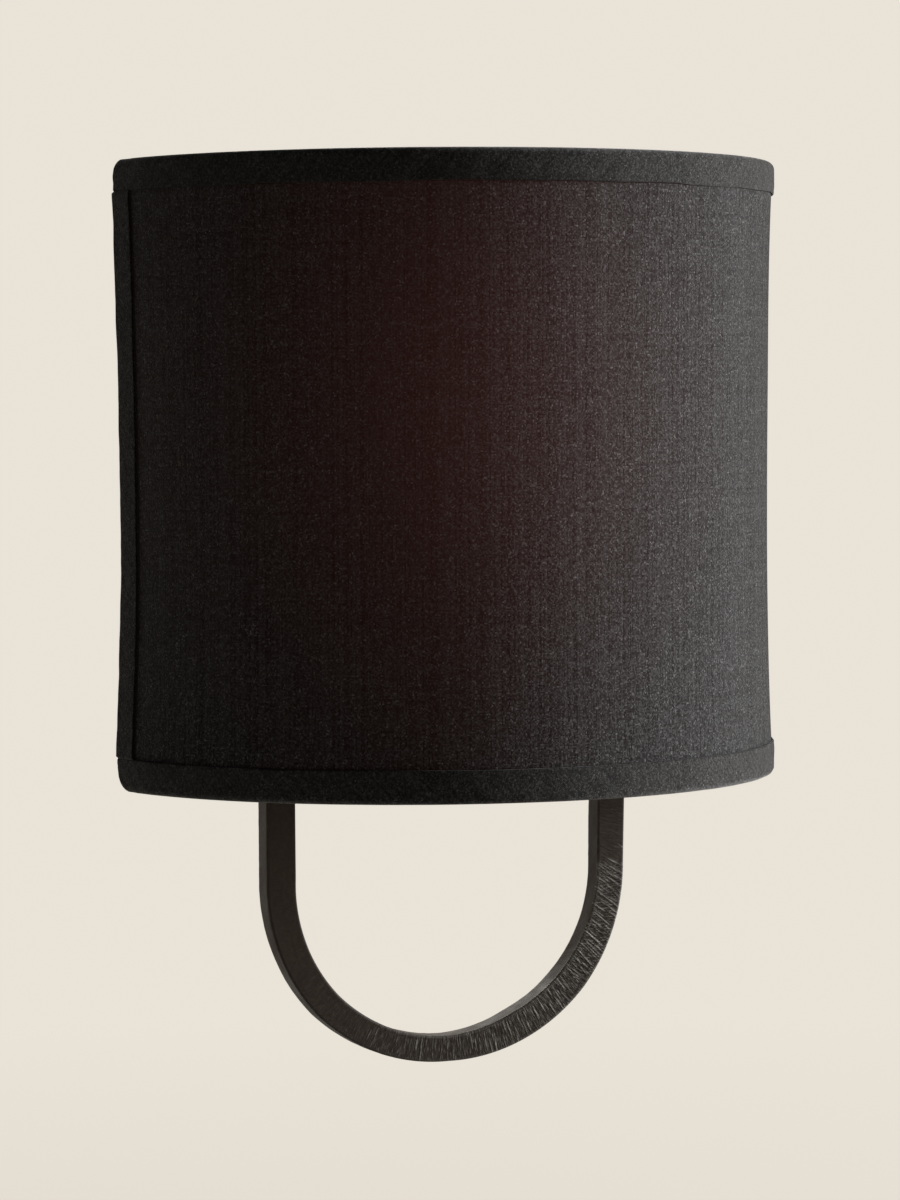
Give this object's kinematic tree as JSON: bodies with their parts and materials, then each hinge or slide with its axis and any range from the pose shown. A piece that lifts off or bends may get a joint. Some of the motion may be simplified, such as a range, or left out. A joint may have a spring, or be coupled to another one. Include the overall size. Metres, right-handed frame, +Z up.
{
  "type": "fabric shade wall light",
  "caption": "Wall light with a half-round fabric shade that lifts off a shallow backplate, and a forged bar bent to a hanging loop below.",
  "frame": {"origin": "centre of the box-screw slots of the mounting bar, on the wall plane, level with the middle of the shade's height", "axes": "+X to the right as seen from the room, +Y into the wall, +Z up"},
  "size_m": [0.2552, 0.1287, 0.3317],
  "materials": {
    "linen": "plain-weave black linen with slubs, matt",
    "trim_tape": "bias-cut black linen tape, matt",
    "liner_film": "white styrene backing film, matt",
    "frame_wire": "white powder coat",
    "forged_iron": "forge-black wrought bar, rasped and waxed",
    "black_steel": "fine-textured black powder coat",
    "zinc_steel": "bright zinc plate",
    "green_screw": "green dye over zinc",
    "black_brass": "oil-blackened brass, satin",
    "brass": "plain brass",
    "phenolic": "black phenolic moulding",
    "shell_metal": "bare spun aluminium",
    "black_glass": "black vitrite",
    "solder": "dull solder",
    "frosted_glass": "inside-frosted white"
  },
  "bodies": {
    "wall_frame": {"arm_flange": "black_steel", "arm_locknut": "zinc_steel", "backplate": "black_steel", "centre_contact": "brass", "ground_screw": "green_screw", "lamp_arm": "black_steel", "left_canopy_screw": "black_steel", "loop": "forged_iron", "mounting_bar": "zinc_steel", "right_canopy_screw": "black_steel", "screw_shell": "shell_metal", "socket_cap": "black_steel", "socket_sleeve": "phenolic"},
    "bulb": {"bulb_base": "shell_metal", "bulb_contact": "solder", "bulb_globe": "frosted_glass", "bulb_insulator": "black_glass"},
    "shade": {"bottom_ring": "frame_wire", "bottom_tape": "trim_tape", "fabric_cover": "linen", "left_side_tape": "trim_tape", "left_upright_wire": "frame_wire", "liner": "liner_film", "lower_left_tab": "frame_wire", "lower_right_tab": "frame_wire", "right_side_tape": "trim_tape", "right_upright_wire": "frame_wire", "top_ring": "frame_wire", "top_tape": "trim_tape", "upper_left_tab": "frame_wire", "upper_right_tab": "frame_wire"},
    "thumb_screw_left": {"left_thumb_screw": "black_brass"},
    "thumb_screw_right": {"right_thumb_screw": "black_brass"}
  },
  "joints": [
    {"name": "bulb_lift", "type": "slide", "parent": "wall_frame", "child": "bulb", "axis": [0, 0, 1], "range_m": [0, 0.15]},
    {"name": "shade_pull", "type": "slide", "parent": "wall_frame", "child": "shade", "axis": [0, -1, 0], "range_m": [0, 0.12]},
    {"name": "thumb_left_turn", "type": "hinge", "parent": "shade", "child": "thumb_screw_left", "pos_m": [-0.045, -0.0245, 0.076], "axis": [0, -1, 0], "range_deg": [0, 1440]},
    {"name": "thumb_right_turn", "type": "hinge", "parent": "shade", "child": "thumb_screw_right", "pos_m": [0.045, -0.0245, 0.076], "axis": [0, -1, 0], "range_deg": [0, 1440]}
  ]
}
